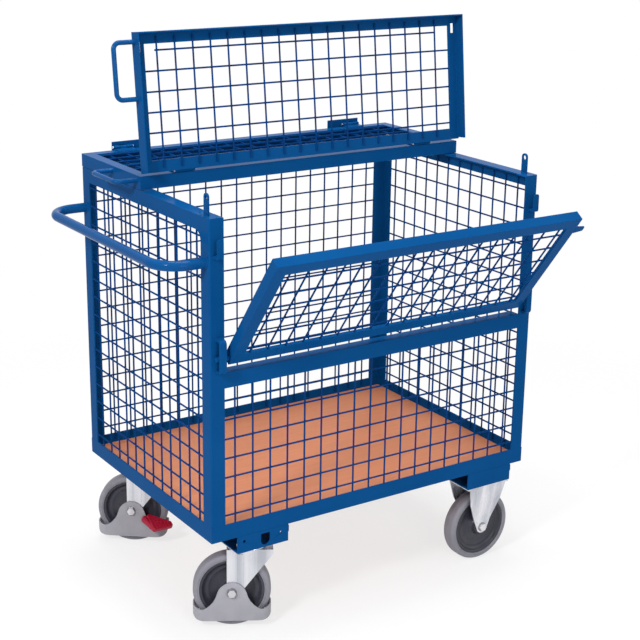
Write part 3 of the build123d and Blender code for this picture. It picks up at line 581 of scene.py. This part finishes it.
def push_handle_bead(beads, side):
    """Bead round one end of the push handle's tube."""
    posts_top = reach("posts_rear")[1].z
    place = at(-HALF_LENGTH, side * (HALF_DEPTH - PUSH_IN), posts_top - PUSH_DROP)
    beads.around(place, PUSH_R, PUSH_BEAD_R)


def lock_tab_beads(beads, side):
    """Beads on both sides of a lock tab's foot."""
    low, high = reach("lock_tabs")
    for x in (high.x - TAB_T, high.x):
        beads.along(at(side * x, low.y, low.z), at(side * x, high.y, low.z), TAB_BEAD_R)


def mid_rail_bead(beads, side):
    """Bead on the inner side of the seam between mid rail and post."""
    low, high = reach("mid_rail_front")
    beads.along(*[at(side * high.x, low.y + STEEL, low.z + rise) for rise in MID_RAIL_RISES])


def box_beads():
    """Beads of the fixed box."""
    beads = Beads("box_welds", "box")
    for side in (-1, 1):
        keeper_beads(beads, side)
        hinge_plate_beads(beads, side)
        carrier_beads(beads, side)
        push_handle_bead(beads, side)
        lock_tab_beads(beads, side)
        mid_rail_bead(beads, side)
    beads.done()


def opened(x, y, z):
    """Place on the front lid, given as if it were shut, in the pose of the photograph."""
    hinge = joints["front_lid_hinge"]
    pin = Vector(hinge["pos_m"])
    turn = Matrix.Rotation(math.radians(hinge["range_deg"][0]), 3, "X")
    return pin + turn @ (at(x, y, z) - pin)


def leaned(x, y, z):
    """Place on the drop flap, given as if it were shut and seated, in the pose of the photograph."""
    swing = joints["flap_swing"]
    pin = Vector(swing["pos_m"])
    seat = pin + Vector((0, 0, joints["flap_lift"]["range_m"][0]))
    turn = Matrix.Rotation(math.radians(-swing["range_deg"][0]), 3, "X")
    return pin + turn @ (at(x, y, z) - seat)


def lid_beads(lid, place, leaf_edges):
    """Beads round the ends of a lid's handle bar and along the edges of its hinge leaves."""
    beads = Beads(lid + "_welds", lid)
    lid_top = reach("rear_lid_frame")[1].z
    bar_y, bar_drop = BAR_PLACES[lid]
    for half in (-BAR_SPAN / 2, BAR_SPAN / 2):
        beads.around(place(-HALF_LENGTH, bar_y + half, lid_top - bar_drop), BAR_R, BAR_BEAD_R)
    for x in (-HINGE_X, HINGE_X):
        ends = (x - LEAF_BEAD_HALF, x + LEAF_BEAD_HALF)
        for y in leaf_edges:
            beads.along(*[place(end, y, lid_top + LEAF_BEAD_RISE) for end in ends], LEAF_BEAD_R)
    beads.done()


def flap_beads():
    """Bead between the flap's frame and its tab."""
    beads = Beads("flap_welds", "flap")
    tab_x = reach("flap_tab")[0].x
    beads.along(*[leaned(tab_x, FLAP_TAB_Y, z) for z in FLAP_TAB_EDGES], LEAF_BEAD_R)
    beads.done()


rear_leaf_edge = reach("rear_lid_leaves")[0].y
mid_leaf_edge = reach("mid_hinge_leaves")[1].y
box_beads()
lid_beads("rear_lid", at, (rear_leaf_edge, mid_leaf_edge))
lid_beads("front_lid", opened, (-mid_leaf_edge,))
flap_beads()


# Wheels, with outlines of (radius, offset along the axle) in millimetres
WHEEL_STEPS = 80


def both_sides(half):
    """A whole outline from its half at positive offsets, running from the bore outwards."""
    return [(r, -s) for r, s in half] + [(r, s) for r, s in reversed(half)]


def tyre_outline():
    """Tyre with a side groove, round shoulders, a flat tread and a fine mould seam."""
    seat = [(83.02, 17.8), (83.4, 19.8), (84.6, 20.8)]
    groove = [(86.6, 21.0), (87.0, 20.3), (87.8, 20.3), (88.2, 21.0)]
    bends = [math.radians(angle) for angle in range(0, 91, 15)]
    shoulder = [(90 + 9.9 * math.sin(t), 11 + 10 * math.cos(t)) for t in bends]
    seam = [(99.9, 0.9), (100.0, 0.5)]
    return both_sides(seat + groove + shoulder + seam)


def core_outline():
    """Dished core with a stepped hub, a raised ring and a lipped rim."""
    hub = [(9.06, 24.4), (9.8, 25.0), (20.6, 25.0), (22.0, 23.8), (22.6, 19.0), (24.4, 14.0), (28.0, 10.2)]
    disc = [(34.0, 8.0), (45.0, 7.0)]
    ring = [(57.5, 7.3), (59.5, 8.5), (61.5, 9.0), (63.5, 8.5), (65.0, 7.9)]
    dish = [(69.0, 8.8), (72.5, 11.2), (74.6, 14.6), (76.0, 17.2)]
    lip = [(77.6, 18.6), (80.6, 18.8), (82.4, 18.2), (82.98, 17.2)]
    return both_sides(hub + disc + ring + dish + lip)


def wheel_part(kind, what, end, outline, slot):
    """A tyre or a core turned about its wheel's axle, in place of its CAD node."""
    joint = joints[kind + "_wheel_" + end + "_spin"]
    node = kind + "_" + what + "_" + end
    verts, faces = [], []
    revolve(verts, faces, outline, joint["pos_m"], joint["axis"], WHEEL_STEPS)
    make(node + "_turned", verts, faces, joint["child"], slot, [node])


for kind in ("swivel", "fixed"):
    for end in ("front", "rear"):
        wheel_part(kind, "tyre", end, tyre_outline(), "tyre_grey")
        wheel_part(kind, "core", end, core_outline(), "core_dark")


# Castor detail, in millimetres; a ring has an inner radius, an outer radius and a thickness
GUARD_FACE = 34
FORK_FACE = 30
WASHER = (6.2, 13.2, 1.2)
GUARD_RING = (16.5, 20.5, 0.9)
RING_SOFT = 0.5
RING_STEPS = 40
SEAL_STEPS = 72


def castor_place(joint, x, y, z):
    """Place in a castor's own frame, in millimetres: x along the wheel, y along the axle, z up from it."""
    axis = Vector(joints[joint]["axis"])
    along = Vector((axis.y, -axis.x, 0))
    return Vector(joints[joint]["pos_m"]) + (along * x + axis * y + Vector((0, 0, z))) * MM


def axle_rings(name, body, wheels, face, sizes, slot, look=None):
    """Flat rings with a soft edge round both ends of some wheels' axles, growing outwards from a face."""
    inner, outer, thick = sizes
    soft = min(RING_SOFT, thick / 3)
    outline = [(inner, 0), (outer, 0), (outer, thick - soft), (outer - soft, thick), (inner, thick)]
    verts, faces = [], []
    for wheel in wheels:
        for side in (-1, 1):
            axis = Vector(joints[wheel]["axis"]) * side
            revolve(verts, faces, outline, castor_place(wheel, 0, side * face, 0), axis, RING_STEPS)
    make(name, verts, faces, body, slot, look=look)


def race_seals():
    """Lipped seals round the ball races of the swivel castors."""
    lower = [(37.5, 3.0), (40.2, 3.0), (40.8, 3.8), (40.2, 5.0), (38.8, 5.6)]
    upper = [(40.4, 6.6), (40.4, 8.2), (37.5, 8.2)]
    verts, faces = [], []
    for joint in ("swivel_front", "swivel_rear"):
        revolve(verts, faces, lower + upper, joints[joint]["pos_m"], (0, 0, 1), SEAL_STEPS)
    make("race_seals", verts, faces, "box", "zinc_steel")


# The washers take the darker copy of the zinc, which is painted shade round the bolt heads.
for end in ("front", "rear"):
    wheels = ["swivel_wheel_" + end + "_spin"]
    body = "castor_" + end
    axle_rings("swivel_washers_" + end, body, wheels, GUARD_FACE, WASHER, "zinc_steel", "zinc_shaded")
    axle_rings("guard_bosses_" + end, body, wheels, GUARD_FACE, GUARD_RING, "guard_grey")
wheels = ["fixed_wheel_front_spin", "fixed_wheel_rear_spin"]
axle_rings("fixed_washers", "box", wheels, FORK_FACE, WASHER, "zinc_steel", "zinc_shaded")
race_seals()


# Brake pedal in the rear swivel castor's own frame, with pad and pin as in the CAD source
PEDAL_WHEEL = "swivel_wheel_rear_spin"
PAD_AT = Vector((82, -39.5, -25))
PAD_TURN = Matrix.Rotation(math.radians(35), 3, "Z") @ Matrix.Rotation(math.radians(27), 3, "X")
PAD_TOP = 5.5
PIN_X, PIN_Z = 40, -22
RIB_PLACES = range(-27, 28, 9)
RIB_OUTER, RIB_INNER = -26, -2
RIB_TIP = 2
RIB_CUT = 3.5
RIB_RADII = (0.5 * MM, 1.4 * MM, 1.4 * MM, 0.5 * MM)
RIB_SIDES = 12
WEB_RINGS = ((9.6, -43.7), (9.6, -45.2), (8.4, -46.4))
WEB_SIDES = 28
WEB_FOOT = [(52, -47, -14.2), (54, -47, -22), (71.5, -77.5, -34), (70.5, -76, -42), (68, -72.5, -42)]


def pedal_ribs():
    """Grip ribs across the pad, each cut short before the foot guard."""
    verts, faces = [], []
    for x in RIB_PLACES:
        inner = min(RIB_INNER, (RIB_CUT - PAD_TURN[1][0] * x) / PAD_TURN[1][1])
        runs = (RIB_OUTER, RIB_OUTER + RIB_TIP, inner - RIB_TIP, inner)
        places = [PAD_AT + PAD_TURN @ Vector((x, y, PAD_TOP)) for y in runs]
        rod(verts, faces, [castor_place(PEDAL_WHEEL, *place) for place in places], RIB_RADII, RIB_SIDES)
    make("pedal_ribs", verts, faces, "pedal", "pedal_red")


def hull(places):
    """Vertices and faces of the convex hull of some places."""
    mould = bmesh.new()
    for place in places:
        mould.verts.new(place)
    result = bmesh.ops.convex_hull(mould, input=mould.verts[:])
    spare = result["geom_interior"] + result["geom_unused"]
    loose = {item for item in spare if isinstance(item, bmesh.types.BMVert)}
    bmesh.ops.delete(mould, geom=list(loose), context="VERTS")
    mould.verts.index_update()
    verts = [v.co.copy() for v in mould.verts]
    faces = [tuple(v.index for v in face.verts) for face in mould.faces]
    mould.free()
    return verts, faces


def pedal_web():
    """Moulded web that covers the pedal's pin and runs out along the pad."""
    places = [(PIN_X + r * c, y, PIN_Z + r * s) for r, y in WEB_RINGS for c, s in circle(WEB_SIDES)]
    verts, faces = hull([castor_place(PEDAL_WHEEL, *place) for place in places + WEB_FOOT])
    make("pedal_web", verts, faces, "pedal", "pedal_red")


pedal_ribs()
pedal_web()


# Floor, world and lamps, in metres; a lamp has a name, a place, a target, a size and a power in watts
FLOOR_HALF = 14
FLOOR_DROP = 0.0005
FLOOR_GREY = 0.88
SHADOW_SHARE = 0.28
SHADOW_SCALE = 0.42
WORLD_LIGHT = 0.42
LAMPS = (
    ("key", (-3.3, -1.5, 3.0), (0, 0, 0.7), 0.7, 108),
    ("front", (-0.7, -3.7, 1.9), (0, 0, 0.9), 1.5, 38),
    ("fill", (3.2, -2.6, 2.0), (0, 0, 0.6), 2.6, 18),
    ("top", (0.2, 0.2, 4.2), (0, 0, 0.6), 2.0, 122),
)


def seen_directly(tree):
    """An output that is 1 for camera, glossy and transmission rays and 0 for the others."""
    path = tree.nodes.new("ShaderNodeLightPath")
    result = path.outputs["Is Camera Ray"]
    for ray in ("Is Glossy Ray", "Is Transmission Ray"):
        either = tree.nodes.new("ShaderNodeMath")
        either.operation = "MAXIMUM"
        tree.links.new(result, either.inputs[0])
        tree.links.new(path.outputs[ray], either.inputs[1])
        result = either.outputs[0]
    return result


def floor_white():
    """Pale surface that keeps a soft shadow near the middle and shows plain white further out."""
    material = bpy.data.materials.new("floor_white")
    material.use_nodes = True
    tree = material.node_tree
    tree.nodes.clear()
    out = tree.nodes.new("ShaderNodeOutputMaterial")
    diffuse = tree.nodes.new("ShaderNodeBsdfDiffuse")
    diffuse.inputs["Color"].default_value = rgba(FLOOR_GREY)
    glow = tree.nodes.new("ShaderNodeEmission")
    place = tree.nodes.new("ShaderNodeTexCoord")
    shrink = tree.nodes.new("ShaderNodeMapping")
    shrink.inputs["Scale"].default_value = (SHADOW_SCALE, SHADOW_SCALE, SHADOW_SCALE)
    spread = tree.nodes.new("ShaderNodeTexGradient")
    spread.gradient_type = "SPHERICAL"
    white = tree.nodes.new("ShaderNodeMapRange")
    white.inputs["From Max"].default_value = 0.5
    white.inputs["To Min"].default_value = 1.0
    white.inputs["To Max"].default_value = 1 - SHADOW_SHARE
    share = tree.nodes.new("ShaderNodeMath")
    share.operation = "MULTIPLY"
    mix = tree.nodes.new("ShaderNodeMixShader")
    tree.links.new(place.outputs["Object"], shrink.inputs["Vector"])
    tree.links.new(shrink.outputs["Vector"], spread.inputs["Vector"])
    tree.links.new(spread.outputs["Fac"], white.inputs["Value"])
    tree.links.new(seen_directly(tree), share.inputs[0])
    tree.links.new(white.outputs["Result"], share.inputs[1])
    tree.links.new(share.outputs[0], mix.inputs[0])
    tree.links.new(diffuse.outputs[0], mix.inputs[1])
    tree.links.new(glow.outputs[0], mix.inputs[2])
    tree.links.new(mix.outputs[0], out.inputs["Surface"])
    return material


def lay_floor():
    """The pale floor under the wheels."""
    mesh = bpy.data.meshes.new("floor")
    corners = [(x * FLOOR_HALF, y * FLOOR_HALF, 0) for x, y in ((-1, -1), (1, -1), (1, 1), (-1, 1))]
    mesh.from_pydata(corners, [], [(0, 1, 2, 3)])
    mesh.materials.append(floor_white())
    floor = bpy.data.objects.new("floor", mesh)
    bpy.context.scene.collection.objects.link(floor)
    floor.location.z = -FLOOR_DROP


def light_world():
    """White surroundings that light the object less than they show."""
    world = bpy.data.worlds.new("studio")
    bpy.context.scene.world = world
    world.use_nodes = True
    tree = world.node_tree
    back = tree.nodes["Background"]
    back.inputs["Color"].default_value = rgba(1.0)
    level = tree.nodes.new("ShaderNodeMapRange")
    level.inputs["To Min"].default_value = WORLD_LIGHT
    level.inputs["To Max"].default_value = 1.0
    tree.links.new(seen_directly(tree), level.inputs["Value"])
    tree.links.new(level.outputs["Result"], back.inputs["Strength"])


def lamp(name, place, target, size, watts):
    """A square area lamp that looks at a target."""
    data = bpy.data.lights.new(name, "AREA")
    data.size = size
    data.energy = watts
    piece = bpy.data.objects.new(name, data)
    bpy.context.scene.collection.objects.link(piece)
    piece.location = place
    piece.rotation_mode = "QUATERNION"
    piece.rotation_quaternion = (Vector(target) - Vector(place)).to_track_quat("-Z", "Y")


lay_floor()
light_world()
for values in LAMPS:
    lamp(*values)


# Camera, as fitted to the photograph
SENSOR_W = 36
LENS = 81.263
SHIFT_X, SHIFT_Y = 0.0021, -0.0190
EYE = (-2051.3, -3148.1, 1871.9)
EYE_RIGHT = Vector((0.835570, -0.549226, 0.013199))
EYE_UP = Vector((0.150767, 0.252341, 0.955820))


def place_camera():
    """The camera at the photograph's view."""
    camera = bpy.data.cameras.new("camera")
    camera.sensor_width = SENSOR_W
    camera.lens = LENS
    camera.shift_x = SHIFT_X
    camera.shift_y = SHIFT_Y
    camera.clip_start = 0.1
    camera.clip_end = 100
    eye = bpy.data.objects.new("camera", camera)
    bpy.context.scene.collection.objects.link(eye)
    aim = Matrix((EYE_RIGHT, EYE_UP, EYE_RIGHT.cross(EYE_UP))).transposed()
    eye.matrix_world = Matrix.Translation(at(*EYE)) @ aim.to_4x4()
    bpy.context.scene.camera = eye


place_camera()
bpy.context.scene.view_settings.view_transform = "Standard"
